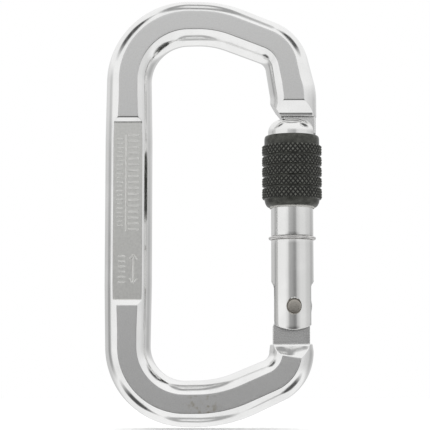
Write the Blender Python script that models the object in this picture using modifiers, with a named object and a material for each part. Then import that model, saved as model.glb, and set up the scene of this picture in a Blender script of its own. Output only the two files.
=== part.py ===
"""Locking carabiner: an offset-D bar frame, a spring gate with a pin latch, and a screw sleeve on the gate.

Blender 4.5, metres, +Z up. The origin is the hang point, the inside apex of the top bow at mid-thickness.
+X runs from the spine to the gate, Y is the thickness, and -Y is the front. Every piece that moves hangs
from an empty on its joint's axis, or has its own origin there.
"""

import math

import bmesh
import bpy
from mathutils import Matrix, Vector

MM = 0.001

# Bar: the centreline as a polygon of corners (x, z, bend radius, bar diameter), from the nose to the hinge.
LEDGE_NOSE_Z = -18.9 * MM
LEDGE_HINGE_Z = -76.8 * MM
SPINE_X = -16.95 * MM
BOTTOM_Z = -91.75 * MM
CENTRELINE = [
    (25.2 * MM, LEDGE_NOSE_Z, 0.0, 11.8 * MM),
    (25.2 * MM, -13.0 * MM, 14.0 * MM, 11.8 * MM),
    (22.7 * MM, -0.9 * MM, 8.2 * MM, 11.2 * MM),
    (5.7 * MM, 5.7 * MM, 25.0 * MM, 11.4 * MM),
    (SPINE_X, 5.7 * MM, 15.4 * MM, 11.5 * MM),
    (SPINE_X, -25.0 * MM, 0.0, 12.0 * MM),
    (SPINE_X, -62.0 * MM, 0.0, 12.0 * MM),
    (SPINE_X, BOTTOM_Z, 14.5 * MM, 11.5 * MM),
    (6.8 * MM, BOTTOM_Z, 30.0 * MM, 11.6 * MM),
    (24.5 * MM, -83.9 * MM, 8.0 * MM, 11.2 * MM),
    (24.4 * MM, LEDGE_HINGE_Z, 0.0, 10.7 * MM),
]
BEND_STEP = math.radians(7.0)
BAR_SIDES_SETTING = 11
FLAT_DEPTH = 5.3 * MM
SLAB_LOW = (-40.0 * MM, -FLAT_DEPTH, -120.0 * MM)
SLAB_HIGH = (50.0 * MM, FLAT_DEPTH, 30.0 * MM)

# Recessed panel pressed into both faces of the spine.
PANEL_DEPTH = 4.68 * MM
PANEL_TOP_Z = -20.6 * MM
PANEL_BOTTOM_Z = -65.8 * MM
PANEL_RAMP = 1.2 * MM

# Tongues of the nose and of the hinge, and the milled shoulders that lead to them.
TONGUE_HALF = 2.3 * MM
LAND_DEPTH = 3.3 * MM
NOSE_SLOPE = (-15.1 * MM, -18.1 * MM)
HINGE_SLOPE = (-79.9 * MM, -77.2 * MM)
MILLING_OVERRUN = 2.0 * MM
NOSE_TIP_Z = -23.2 * MM
NOSE_ROOT_Z = -15.0 * MM
NOSE_ROOT_INSET = 2.0 * MM
NOSE_TURNED_RADIUS = 6.2 * MM
NOSE_TURNED_TOP_Z = LEDGE_NOSE_Z + 0.5 * MM
CHAMFER_TOP = (19.4 * MM, -15.3 * MM)
CHAMFER_RUN = 0.73
CUTTER_REACH = 4.0 * MM
HOOK_GAP = 0.2 * MM
HINGE_ROOT_Z = LEDGE_HINGE_Z - 4.0 * MM
HINGE_LEG_X = (19.75 * MM, 29.05 * MM)

# Gate axis, hinge and latch.
GATE_X = 24.77 * MM
HINGE_X = 25.02 * MM
HINGE_Z = -67.3 * MM
PIN_X = 27.6 * MM
PIN_Z = -21.1 * MM
PIN_RADIUS = 0.9 * MM
PIN_HALF = 4.4 * MM
RIVET_RADIUS = 1.8 * MM
RIVET_HALF = 5.15 * MM
EYE_RADIUS = 4.6 * MM
EYE_FOOT_ANGLE = -29.0
CAM_HEIGHT = 4.0 * MM
CAM_CORNER = 1.2 * MM
CAM_LEFT = -4.4 * MM
CAM_SIDE_Z = HINGE_Z - 3.0 * MM
CAM_FOOT_Z = HINGE_Z - 5.0 * MM
FIT = 0.15 * MM
GAP = 0.3 * MM

# Gate barrel.
GATE_TOP_Z = -19.5 * MM
DOME_RADIUS = 3.3 * MM
THREAD_RADIUS = 6.05 * MM
THREAD_END_Z = -35.5 * MM
BARREL_RADIUS = 5.38 * MM
GROOVE_Z = -49.95 * MM
GROOVE_HALF = 0.55 * MM
GROOVE_RADIUS = 4.95 * MM
SIDE_RAMP_Z = (-60.9 * MM, -62.3 * MM)
SIDE_FLAT_HALF = 4.6 * MM
FORK_END_Z = -73.3 * MM
FORK_END_ARC = 9.0 * MM
FORK_ROOF_Z = -61.7 * MM
NOSE_SLOT_WALL_X = 22.0 * MM
NOSE_SLOT_FLOOR_Z = -24.0 * MM

# Spring and plunger inside the gate.
PLUNGER_X = GATE_X - 1.0 * MM
BORE_RADIUS = 2.0 * MM
BORE_END_Z = -44.0 * MM
PLUNGER_RADIUS = 1.7 * MM
PLUNGER_CHAMFER = 0.4 * MM
STEM_RADIUS = 0.8 * MM
PLUNGER_FOOT_Z = HINGE_Z + CAM_HEIGHT + 0.25 * MM
PLUNGER_SHOULDER_Z = -58.5 * MM
STEM_TOP_Z = -54.0 * MM
SPRING_WIRE = 0.26 * MM
SPRING_RADIUS = 1.4 * MM
SPRING_TURNS = 9
SPRING_POINTS_PER_TURN = 12

# Screw sleeve, its friction ring and its stop ring.
SLEEVE_TOP_Z = -23.75 * MM
SLEEVE_BOTTOM_Z = -41.9 * MM
SLEEVE_BORE = 6.42 * MM
SLEEVE_CORNER = 0.3 * MM
SLEEVE_LEAD_IN = 0.1 * MM
COLLAR_RADIUS = 7.02 * MM
GRIP_RADIUS = 7.67 * MM
GRIP_TOP_Z = -26.35 * MM
GRIP_BOTTOM_Z = -39.88 * MM
GRIP_SLOPE = 0.2 * MM
RING_CUTS = 4
RING_CUT_TOP_Z = -28.92 * MM
RING_CUT_PITCH = 2.71 * MM
RING_CUT_HALF = 0.15 * MM
FOOT_ROUNDING = [(6.95 * MM, -40.55 * MM), (6.82 * MM, -41.05 * MM), (6.55 * MM, -41.55 * MM)]
FOOT_RADIUS = 6.2 * MM
LIP_RADIUS = 5.95 * MM
LIP_TOP_Z = -41.3 * MM
RING_BORE = 5.53 * MM
RING_RADIUS = 5.75 * MM
RING_FLANGE = 6.2 * MM
RING_TOP_Z = -40.6 * MM
RING_FLANGE_Z = -41.05 * MM
RING_BOTTOM_Z = -42.3 * MM
STOP_RING_RADIUS = 5.65 * MM
STOP_RING_WIRE = 0.38 * MM
STOP_RING_SPLIT = math.radians(16.0)
STOP_RING_POINTS = 30

TURN_STEPS = 36
PIN_SIDES = 24
REACH = 9.0 * MM
WELD = 0.000001

# Axes that an outline's own x, y and thickness run along.
IN_XZ = Matrix(((1, 0, 0), (0, 0, -1), (0, 1, 0))).to_4x4()
IN_YZ = Matrix(((0, 0, 1), (1, 0, 0), (0, 1, 0))).to_4x4()


def clear_scene():
    for scene_object in list(bpy.data.objects):
        bpy.data.objects.remove(scene_object, do_unlink=True)


def new_collection(name):
    collection = bpy.data.collections.new(name)
    bpy.context.scene.collection.children.link(collection)
    return collection


def new_material(name, colour, metallic, roughness):
    material = bpy.data.materials.new(name)
    material.use_nodes = True
    shader = material.node_tree.nodes["Principled BSDF"]
    shader.inputs["Base Color"].default_value = (*colour, 1.0)
    shader.inputs["Metallic"].default_value = metallic
    shader.inputs["Roughness"].default_value = roughness
    return material


def new_object(name, data, collection):
    made = bpy.data.objects.new(name, data)
    collection.objects.link(made)
    return made


def new_cutter(name, data):
    """An object that only shapes others: drawn as wire, and never rendered."""
    made = new_object(name, data, CUTTERS)
    made.display_type = "WIRE"
    made.hide_render = True
    return made


def mesh_of_curve(curve_object, make):
    """A closed mesh object with a curve's shape and place. The curve is removed."""
    bpy.context.view_layer.update()
    evaluated = curve_object.evaluated_get(bpy.context.evaluated_depsgraph_get())
    mesh = bpy.data.meshes.new_from_object(evaluated)
    bm = bmesh.new()
    bm.from_mesh(mesh)
    bmesh.ops.remove_doubles(bm, verts=bm.verts, dist=WELD)
    bmesh.ops.recalc_face_normals(bm, faces=bm.faces)
    bm.to_mesh(mesh)
    bm.free()
    name = curve_object.name
    place = curve_object.matrix_world.copy()
    bpy.data.objects.remove(curve_object)
    made = make(name, mesh)
    made.matrix_world = place
    return made


def prism(name, outline, plane, half, make, offset=0.0):
    """A flat outline given thickness: half each way from offset along the plane's normal."""
    curve = bpy.data.curves.new(name, "CURVE")
    curve.dimensions = "2D"
    curve.fill_mode = "BOTH"
    curve.extrude = half
    spline = curve.splines.new("POLY")
    spline.points.add(len(outline) - 1)
    for point, (x, y) in zip(spline.points, outline):
        point.co = (x, y, 0.0, 1.0)
    spline.use_cyclic_u = True
    curve_object = new_object(name, curve, CUTTERS)
    curve_object.matrix_world = plane @ Matrix.Translation((0.0, 0.0, offset))
    return mesh_of_curve(curve_object, make)


def wire(name, points, radius, resolution, make, sizes=None, closed=False):
    """A round bar or wire through points, with flat ends. sizes scale its radius at each point."""
    curve = bpy.data.curves.new(name, "CURVE")
    curve.dimensions = "3D"
    curve.twist_mode = "MINIMUM"
    curve.bevel_depth = radius
    curve.bevel_resolution = resolution
    curve.use_fill_caps = not closed
    spline = curve.splines.new("POLY")
    spline.points.add(len(points) - 1)
    for number, (point, place) in enumerate(zip(spline.points, points)):
        point.co = (*place, 1.0)
        point.radius = sizes[number] if sizes else 1.0
    spline.use_cyclic_u = closed
    return mesh_of_curve(new_object(name, curve, CUTTERS), make)


def turned(name, profile, place, make):
    """A shape turned about the Z axis at place. The profile of (radius, z) runs down its outer side."""
    bm = bmesh.new()
    points = [bm.verts.new((radius, 0.0, z - place[2])) for radius, z in profile]
    closed = profile[0][0] > 0.0
    for first, second in zip(points, points[1:] + points[:1] if closed else points[1:]):
        bm.edges.new((first, second))
    mesh = bpy.data.meshes.new(name)
    bm.to_mesh(mesh)
    bm.free()
    made = make(name, mesh)
    made.location = place
    screw = made.modifiers.new("turn", "SCREW")
    screw.axis = "Z"
    screw.angle = 2.0 * math.pi
    screw.steps = TURN_STEPS
    screw.render_steps = TURN_STEPS
    screw.use_merge_vertices = True
    screw.merge_threshold = WELD
    return made


def cross_pin(name, radius, half, x, z, make, sides=PIN_SIDES):
    """A cylinder along Y, centred on the mid-plane, with its origin on its own axis."""
    bm = bmesh.new()
    bmesh.ops.create_cone(
        bm, cap_ends=True, segments=sides, radius1=radius, radius2=radius, depth=2.0 * half,
        matrix=Matrix.Rotation(math.pi / 2.0, 4, "X"),
    )
    mesh = bpy.data.meshes.new(name)
    bm.to_mesh(mesh)
    bm.free()
    made = make(name, mesh)
    made.location = (x, 0.0, z)
    return made


def box(name, low, high, make):
    """A box between two corners."""
    size = Vector(high) - Vector(low)
    middle = (Vector(high) + Vector(low)) / 2.0
    bm = bmesh.new()
    bmesh.ops.create_cube(bm, size=1.0, matrix=Matrix.Diagonal((*size, 1.0)))
    mesh = bpy.data.meshes.new(name)
    bm.to_mesh(mesh)
    bm.free()
    made = make(name, mesh)
    made.location = middle
    return made


def combine(target, other, operation="DIFFERENCE"):
    modifier = target.modifiers.new(f"{operation.lower()} {other.name}", "BOOLEAN")
    modifier.operation = operation
    modifier.solver = "EXACT"
    modifier.object = other


def finish(made, material, smooth_angle=math.radians(35.0)):
    """Give a part its material and smooth shading across its shallow edges."""
    made.data.materials.clear()
    made.data.materials.append(material)
    made.data.shade_smooth()
    made.data.set_sharp_from_angle(angle=smooth_angle)


def arc(x, z, radius, start, end, steps):
    """Points on an arc from the angle start to end, in degrees."""
    angles = [math.radians(start + (end - start) * n / steps) for n in range(steps + 1)]
    return [(x + radius * math.cos(a), z + radius * math.sin(a)) for a in angles]


def bar_centreline():
    """The centreline's points as (x, z), and the bar's diameter at each, with every corner bent to its radius."""
    points = []
    diameters = []
    for number, (x, z, bend, diameter) in enumerate(CENTRELINE):
        corner = Vector((x, z))
        if bend == 0.0:
            points.append(corner)
            diameters.append(diameter)
            continue
        before = (Vector(CENTRELINE[number - 1][:2]) - corner).normalized()
        after = (Vector(CENTRELINE[number + 1][:2]) - corner).normalized()
        turn = math.pi - before.angle(after)
        centre = corner + (before + after).normalized() * bend / math.cos(turn / 2.0)
        start = corner + before * bend * math.tan(turn / 2.0) - centre
        side = math.copysign(1.0, before.x * after.y - before.y * after.x)
        steps = max(2, math.ceil(turn / BEND_STEP))
        for step in range(steps + 1):
            angle = -side * turn * step / steps
            turned_arm = Matrix.Rotation(angle, 2) @ start
            points.append(centre + turned_arm)
            diameters.append(diameter)
    return points, diameters


def shoulder_outline(side, slope, end_z):
    """Outline in the YZ plane of what is milled off one side of a leg beside its tongue."""
    flat_z, foot_z = slope
    far_z = flat_z + (flat_z - foot_z) * (REACH - FLAT_DEPTH) / (FLAT_DEPTH - LAND_DEPTH)
    half = [(REACH, far_z), (LAND_DEPTH, foot_z), (LAND_DEPTH, end_z), (REACH, end_z)]
    return [(side * depth, z) for depth, z in half]


def chamfer_x(z):
    """Where the nose's inner chamfer crosses the height z."""
    return CHAMFER_TOP[0] + CHAMFER_RUN * (CHAMFER_TOP[1] - z)


def nose_tongue_outline():
    """The nose's tongue in the XZ plane, with the hook's notch for the latch pin open on the inner side."""
    notch = PIN_RADIUS + HOOK_GAP
    outer = GATE_X + NOSE_TURNED_RADIUS + GAP
    mouth_top = PIN_Z + notch
    mouth_bottom = PIN_Z - notch
    return [
        (outer - NOSE_ROOT_INSET, NOSE_ROOT_Z),
        (CHAMFER_TOP[0] + 1.5 * NOSE_ROOT_INSET, NOSE_ROOT_Z),
        (chamfer_x(mouth_top), mouth_top),
        *arc(PIN_X, PIN_Z, notch, 90.0, -90.0, 8),
        (chamfer_x(mouth_bottom), mouth_bottom),
        (chamfer_x(NOSE_TIP_Z), NOSE_TIP_Z),
        (outer, NOSE_TIP_Z),
        (outer, LEDGE_NOSE_Z),
        (outer - NOSE_ROOT_INSET, LEDGE_NOSE_Z),
    ]


def hinge_tongue_outline():
    """The hinge's tongue in the XZ plane: a round outer side about the rivet, and a flat cam on top."""
    left = HINGE_X + CAM_LEFT
    top = HINGE_Z + CAM_HEIGHT
    eye_top = math.degrees(math.asin(CAM_HEIGHT / EYE_RADIUS))
    return [
        (HINGE_LEG_X[1], HINGE_ROOT_Z),
        *arc(HINGE_X, HINGE_Z, EYE_RADIUS, EYE_FOOT_ANGLE, eye_top, 10),
        *arc(left + CAM_CORNER, top - CAM_CORNER, CAM_CORNER, 90.0, 180.0, 5),
        (left, CAM_SIDE_Z),
        (HINGE_LEG_X[0], CAM_FOOT_Z),
        (HINGE_LEG_X[0], HINGE_ROOT_Z),
    ]


def make_frame_body(make, material):
    """The bent bar with its pressed flats and panels, and the tongues of the nose and the hinge."""
    points, diameters = bar_centreline()
    radius = max(diameters) / 2.0
    places = [(x, 0.0, z) for x, z in points]
    sizes = [diameter / 2.0 / radius for diameter in diameters]
    body = wire("frame_body", places, radius, BAR_SIDES_SETTING, make, sizes)

    slab = box("flats", SLAB_LOW, SLAB_HIGH, new_cutter)
    combine(body, slab, "INTERSECT")
    for side, word in ((-1.0, "front"), (1.0, "back")):
        middle = (PANEL_TOP_Z + PANEL_BOTTOM_Z) / 2.0
        half = (PANEL_TOP_Z - PANEL_BOTTOM_Z) / 2.0
        ramp = PANEL_RAMP * (REACH - PANEL_DEPTH) / (FLAT_DEPTH - PANEL_DEPTH)
        outline = [
            (side * PANEL_DEPTH, middle + half),
            (side * PANEL_DEPTH, middle - half),
            (side * REACH, middle - half - ramp),
            (side * REACH, middle + half + ramp),
        ]
        combine(body, prism(f"panel_{word}", outline, IN_YZ, REACH, new_cutter, SPINE_X))
        for word_end, slope, end_z in (
            ("nose", NOSE_SLOPE, LEDGE_NOSE_Z - MILLING_OVERRUN),
            ("hinge", HINGE_SLOPE, LEDGE_HINGE_Z + MILLING_OVERRUN),
        ):
            outline = shoulder_outline(side, slope, end_z)
            combine(body, prism(f"{word_end}_{word}", outline, IN_YZ, REACH, new_cutter, GATE_X))

    nose = prism("nose_tongue", nose_tongue_outline(), IN_XZ, TONGUE_HALF, new_cutter)
    combine(body, nose, "UNION")
    hinge = prism("hinge_tongue", hinge_tongue_outline(), IN_XZ, TONGUE_HALF, new_cutter)
    combine(body, hinge, "UNION")

    chamfer = [
        CHAMFER_TOP,
        (chamfer_x(NOSE_TIP_Z - MM), NOSE_TIP_Z - MM),
        (CHAMFER_TOP[0] - CUTTER_REACH, NOSE_TIP_Z - MM),
        (CHAMFER_TOP[0] - CUTTER_REACH, CHAMFER_TOP[1] + CUTTER_REACH / CHAMFER_RUN),
    ]
    combine(body, prism("nose_chamfer", chamfer, IN_XZ, REACH, new_cutter))
    turning = [
        (NOSE_TURNED_RADIUS + CUTTER_REACH, NOSE_TURNED_TOP_Z),
        (NOSE_TURNED_RADIUS + CUTTER_REACH, NOSE_TIP_Z - MM),
        (NOSE_TURNED_RADIUS, NOSE_TIP_Z - MM),
        (NOSE_TURNED_RADIUS, NOSE_TURNED_TOP_Z),
    ]
    combine(body, turned("nose_turning", turning, (GATE_X, 0.0, NOSE_TIP_Z), new_cutter))
    hole = cross_pin("hinge_hole", RIVET_RADIUS + FIT, REACH, HINGE_X, HINGE_Z, new_cutter)
    combine(body, hole)
    finish(body, material)
    return body


def gate_profile():
    """The gate barrel's radius and height from its domed top down to the fork's end."""
    dome_x = THREAD_RADIUS - DOME_RADIUS
    dome_z = GATE_TOP_Z - DOME_RADIUS
    return [
        (0.0, GATE_TOP_Z),
        *arc(dome_x, dome_z, DOME_RADIUS, 90.0, 0.0, 6),
        (THREAD_RADIUS, THREAD_END_Z),
        (BARREL_RADIUS, THREAD_END_Z - 0.5 * MM),
        (BARREL_RADIUS, GROOVE_Z + GROOVE_HALF),
        (GROOVE_RADIUS, GROOVE_Z + GROOVE_HALF),
        (GROOVE_RADIUS, GROOVE_Z - GROOVE_HALF),
        (BARREL_RADIUS, GROOVE_Z - GROOVE_HALF),
        (BARREL_RADIUS, FORK_END_Z),
        (0.0, FORK_END_Z),
    ]


def side_flat_outline(side):
    """Outline in the XZ plane of what is cut off one side of the fork, with a ramp at its top."""
    ramp_top, ramp_foot = SIDE_RAMP_Z
    far_z = ramp_foot + (ramp_top - ramp_foot) * (REACH - SIDE_FLAT_HALF) / (BARREL_RADIUS - SIDE_FLAT_HALF)
    below = FORK_END_Z - MM
    half = [(SIDE_FLAT_HALF, ramp_foot), (REACH, far_z), (REACH, below), (SIDE_FLAT_HALF, below)]
    return [(GATE_X + side * across, z) for across, z in half]


def make_gate_barrel(make, material):
    """The gate: a turned barrel, slotted for the nose, forked for the hinge and bored for the spring."""
    gate = turned("gate_barrel", gate_profile(), (GATE_X, 0.0, HINGE_Z), make)
    slot_half = TONGUE_HALF + GAP
    nose_slot = box(
        "nose_slot",
        (NOSE_SLOT_WALL_X, -slot_half, NOSE_SLOT_FLOOR_Z),
        (GATE_X + REACH, slot_half, GATE_TOP_Z + MM),
        new_cutter,
    )
    fork_slot = box(
        "fork_slot",
        (GATE_X - REACH, -slot_half, FORK_END_Z - MM),
        (GATE_X + REACH, slot_half, FORK_ROOF_Z),
        new_cutter,
    )
    bore_profile = [
        (0.0, BORE_END_Z),
        (BORE_RADIUS, BORE_END_Z),
        (BORE_RADIUS, FORK_ROOF_Z - MM),
        (0.0, FORK_ROOF_Z - MM),
    ]
    bore = turned("spring_bore", bore_profile, (PLUNGER_X, 0.0, BORE_END_Z), new_cutter)
    pin_hole = cross_pin("pin_hole", PIN_RADIUS + FIT, REACH, PIN_X, PIN_Z, new_cutter)
    rivet_hole = cross_pin("rivet_hole", RIVET_RADIUS + FIT, REACH, HINGE_X, HINGE_Z, new_cutter)
    end_centre = FORK_END_Z + FORK_END_ARC
    rounding = [
        (GATE_X - REACH, FORK_END_Z - 2.0 * MM),
        (GATE_X + REACH, FORK_END_Z - 2.0 * MM),
        *arc(GATE_X, end_centre, FORK_END_ARC, -20.0, -160.0, 16),
    ]
    for cutter in (
        nose_slot,
        fork_slot,
        bore,
        pin_hole,
        rivet_hole,
        prism("fork_rounding", rounding, IN_XZ, REACH, new_cutter),
        prism("fork_side_left", side_flat_outline(-1.0), IN_XZ, REACH, new_cutter),
        prism("fork_side_right", side_flat_outline(1.0), IN_XZ, REACH, new_cutter),
    ):
        combine(gate, cutter)
    finish(gate, material)
    return gate


def make_plunger(make, material):
    """The plunger that the spring presses on the hinge's cam, with a stem inside the spring."""
    profile = [
        (0.0, STEM_TOP_Z),
        (STEM_RADIUS, STEM_TOP_Z),
        (STEM_RADIUS, PLUNGER_SHOULDER_Z),
        (PLUNGER_RADIUS, PLUNGER_SHOULDER_Z),
        (PLUNGER_RADIUS, PLUNGER_FOOT_Z + PLUNGER_CHAMFER),
        (PLUNGER_RADIUS - PLUNGER_CHAMFER, PLUNGER_FOOT_Z),
        (0.0, PLUNGER_FOOT_Z),
    ]
    plunger = turned("spring_plunger", profile, (PLUNGER_X, 0.0, PLUNGER_FOOT_Z), make)
    finish(plunger, material)
    return plunger


def make_gate_spring(make, material):
    """The compression spring between the plunger's shoulder and the end of its bore."""
    low = PLUNGER_SHOULDER_Z + GAP / 2.0 + SPRING_WIRE
    high = BORE_END_Z - GAP / 2.0 - SPRING_WIRE
    count = SPRING_TURNS * SPRING_POINTS_PER_TURN
    points = []
    for number in range(count + 1):
        angle = 2.0 * math.pi * number / SPRING_POINTS_PER_TURN
        height = low + (high - low) * number / count
        points.append((SPRING_RADIUS * math.cos(angle), SPRING_RADIUS * math.sin(angle), height))
    places = [(PLUNGER_X + x, y, z) for x, y, z in points]
    spring = wire("gate_spring", places, SPRING_WIRE, 2, make)
    finish(spring, material)
    return spring


def make_sleeve(make, material):
    """The screw sleeve: a plain collar, a raised grip with four ring cuts, and a rounded foot with a lip."""
    corner = SLEEVE_CORNER
    profile = [(SLEEVE_BORE + SLEEVE_LEAD_IN, SLEEVE_TOP_Z)]
    profile += arc(COLLAR_RADIUS - corner, SLEEVE_TOP_Z - corner, corner, 90.0, 0.0, 3)
    profile += [(COLLAR_RADIUS, GRIP_TOP_Z + GRIP_SLOPE), (GRIP_RADIUS, GRIP_TOP_Z)]
    for number in range(RING_CUTS):
        middle = RING_CUT_TOP_Z - number * RING_CUT_PITCH
        profile += [
            (GRIP_RADIUS, middle + RING_CUT_HALF + GRIP_SLOPE),
            (COLLAR_RADIUS, middle + RING_CUT_HALF),
            (COLLAR_RADIUS, middle - RING_CUT_HALF),
            (GRIP_RADIUS, middle - RING_CUT_HALF - GRIP_SLOPE),
        ]
    profile += [
        (GRIP_RADIUS, GRIP_BOTTOM_Z),
        (COLLAR_RADIUS, GRIP_BOTTOM_Z - GRIP_SLOPE),
        *FOOT_ROUNDING,
        (FOOT_RADIUS, SLEEVE_BOTTOM_Z),
        (LIP_RADIUS, SLEEVE_BOTTOM_Z),
        (LIP_RADIUS, LIP_TOP_Z),
        (SLEEVE_BORE, LIP_TOP_Z),
        (SLEEVE_BORE, SLEEVE_TOP_Z - SLEEVE_LEAD_IN),
    ]
    middle = (SLEEVE_TOP_Z + SLEEVE_BOTTOM_Z) / 2.0
    sleeve = turned("locking_sleeve", profile, (GATE_X, 0.0, middle), make)
    finish(sleeve, material)
    return sleeve


def make_friction_ring(make, material):
    """The flanged ring in the sleeve's lip that rubs on the barrel and keeps the sleeve from rattling."""
    profile = [
        (RING_FLANGE, RING_TOP_Z),
        (RING_FLANGE, RING_FLANGE_Z),
        (RING_RADIUS, RING_FLANGE_Z),
        (RING_RADIUS, RING_BOTTOM_Z),
        (RING_BORE, RING_BOTTOM_Z),
        (RING_BORE, RING_TOP_Z),
    ]
    ring = turned("sleeve_friction_ring", profile, (GATE_X, 0.0, RING_BOTTOM_Z), make)
    finish(ring, material)
    return ring


def make_stop_ring(make, material):
    """The split wire ring in the barrel's groove that stops the sleeve's downward travel."""
    start = math.pi / 2.0 + STOP_RING_SPLIT / 2.0
    span = 2.0 * math.pi - STOP_RING_SPLIT
    angles = [start + span * number / STOP_RING_POINTS for number in range(STOP_RING_POINTS + 1)]
    places = [
        (GATE_X + STOP_RING_RADIUS * math.cos(a), STOP_RING_RADIUS * math.sin(a), GROOVE_Z) for a in angles
    ]
    ring = wire("sleeve_stop_ring", places, STOP_RING_WIRE, 2, make)
    finish(ring, material)
    return ring


def hang_from(children, name, place, collection):
    """Parent pieces to an empty on their joint's axis, without moving them."""
    pivot = bpy.data.objects.new(name, None)
    pivot.empty_display_size = 5.0 * MM
    pivot.location = place
    collection.objects.link(pivot)
    for child in children:
        child.parent = pivot
        child.matrix_parent_inverse = Matrix.Translation(place).inverted()
    return pivot


clear_scene()
PARTS = new_collection("locking_carabiner")
CUTTERS = new_collection("cutters")


def make_part(name, data):
    return new_object(name, data, PARTS)


def main():
    polished = new_material("polished_aluminium", (0.80, 0.80, 0.79), 1.0, 0.16)
    gate_alloy = new_material("gate_aluminium", (0.76, 0.76, 0.74), 1.0, 0.20)
    black = new_material("black_anodised", (0.020, 0.020, 0.022), 0.6, 0.42)
    rivet_steel = new_material("rivet_steel", (0.42, 0.39, 0.36), 1.0, 0.34)
    spring_steel = new_material("spring_steel", (0.55, 0.55, 0.56), 1.0, 0.28)
    wire_steel = new_material("ring_steel", (0.30, 0.29, 0.28), 1.0, 0.32)
    acetal = new_material("pale_acetal", (0.62, 0.60, 0.53), 0.0, 0.40)

    make_frame_body(make_part, polished)
    rivet = cross_pin("hinge_rivet", RIVET_RADIUS, RIVET_HALF, HINGE_X, HINGE_Z, make_part)
    finish(rivet, rivet_steel)

    gate = make_gate_barrel(make_part, gate_alloy)
    pin = cross_pin("latch_pin", PIN_RADIUS, PIN_HALF, PIN_X, PIN_Z, make_part)
    finish(pin, rivet_steel)
    spring = make_gate_spring(make_part, spring_steel)
    plunger = make_plunger(make_part, rivet_steel)
    stop_ring = make_stop_ring(make_part, wire_steel)
    friction_ring = make_friction_ring(make_part, acetal)
    sleeve = make_sleeve(make_part, black)

    pieces = [gate, pin, spring, plunger, stop_ring, friction_ring, sleeve]
    hang_from(pieces, "gate_hinge_axis", (HINGE_X, 0.0, HINGE_Z), PARTS)


main()
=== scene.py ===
"""Looks of the locking carabiner: fine meshes, materials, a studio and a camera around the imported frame.

Metres, in the CAD's own frame: the origin is the hang point, +X runs from the spine to the gate, -Y is
the front and +Z is up. The sizes and places repeat the CAD's driving dimensions.
"""

import math

import bmesh
import bpy
import numpy as np
from mathutils import Matrix, Vector


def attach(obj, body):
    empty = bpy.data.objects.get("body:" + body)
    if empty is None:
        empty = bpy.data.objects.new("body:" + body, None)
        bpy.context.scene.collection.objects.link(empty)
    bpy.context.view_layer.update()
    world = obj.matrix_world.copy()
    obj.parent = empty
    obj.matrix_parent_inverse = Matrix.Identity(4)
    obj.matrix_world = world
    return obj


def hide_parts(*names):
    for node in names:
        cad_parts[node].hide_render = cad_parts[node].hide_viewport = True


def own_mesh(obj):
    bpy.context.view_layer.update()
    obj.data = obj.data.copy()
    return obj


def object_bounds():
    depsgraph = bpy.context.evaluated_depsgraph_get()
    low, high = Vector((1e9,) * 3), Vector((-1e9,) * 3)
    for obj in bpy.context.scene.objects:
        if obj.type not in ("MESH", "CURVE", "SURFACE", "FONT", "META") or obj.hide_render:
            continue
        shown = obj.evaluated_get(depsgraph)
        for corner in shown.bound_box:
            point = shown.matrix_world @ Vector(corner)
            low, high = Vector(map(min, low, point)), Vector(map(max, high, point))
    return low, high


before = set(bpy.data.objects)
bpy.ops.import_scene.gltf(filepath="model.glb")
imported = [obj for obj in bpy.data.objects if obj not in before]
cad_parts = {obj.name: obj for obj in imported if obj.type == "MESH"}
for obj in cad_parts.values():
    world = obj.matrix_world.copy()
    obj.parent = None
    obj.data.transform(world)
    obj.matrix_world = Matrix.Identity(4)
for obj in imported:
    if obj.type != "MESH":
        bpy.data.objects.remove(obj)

CAD_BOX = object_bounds()
MM = 0.001

# Camera: it looks slightly up at the front, from a little above the floor.
CAMERA_TARGET = (5.1 * MM, 0.0, -43.9 * MM)
CAMERA_DISTANCE = 400.0 * MM
CAMERA_AZIMUTH = 0.5
CAMERA_ELEVATION = -6.0
CAMERA_LENS = 131.2
CAMERA_SENSOR = 36.0

# Bar: corners of the centreline (x, z, bend radius, diameter), from the nose round to the hinge.
LEDGE_NOSE_Z = -18.9 * MM
LEDGE_HINGE_Z = -76.8 * MM
SPINE_X = -16.95 * MM
BOTTOM_Z = -91.75 * MM
CENTRELINE = [
    (25.2 * MM, LEDGE_NOSE_Z, 0.0, 11.8 * MM),
    (25.2 * MM, -13.0 * MM, 14.0 * MM, 11.8 * MM),
    (22.7 * MM, -0.9 * MM, 8.2 * MM, 11.2 * MM),
    (5.7 * MM, 5.7 * MM, 25.0 * MM, 11.4 * MM),
    (SPINE_X, 5.7 * MM, 15.4 * MM, 11.5 * MM),
    (SPINE_X, -25.0 * MM, 0.0, 12.0 * MM),
    (SPINE_X, -62.0 * MM, 0.0, 12.0 * MM),
    (SPINE_X, BOTTOM_Z, 14.5 * MM, 11.5 * MM),
    (6.8 * MM, BOTTOM_Z, 30.0 * MM, 11.6 * MM),
    (24.5 * MM, -83.9 * MM, 8.0 * MM, 11.2 * MM),
    (24.4 * MM, LEDGE_HINGE_Z, 0.0, 10.7 * MM),
]
BEND_STEP = math.radians(2.5)
STATION_STEP = 0.9 * MM
KINK_ROUNDING = 0.2 * MM
END_ROUNDING = [(0.0, 0.2 * MM), (0.07 * MM, 0.07 * MM), (0.2 * MM, 0.0)]
FLAT_DEPTH = 5.3 * MM
FLAT_HALF = 2.4 * MM
EDGE_FILLET = 0.42 * MM
FLAT_CUTS = 10
FILLET_CUTS = 3
SIDE_CUTS = 30

# Recessed panel on both faces of the spine.
PANEL_DEPTH = 4.68 * MM
PANEL_TOP_Z = -20.6 * MM
PANEL_BOTTOM_Z = -65.8 * MM
PANEL_RAMP = 1.2 * MM

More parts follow.
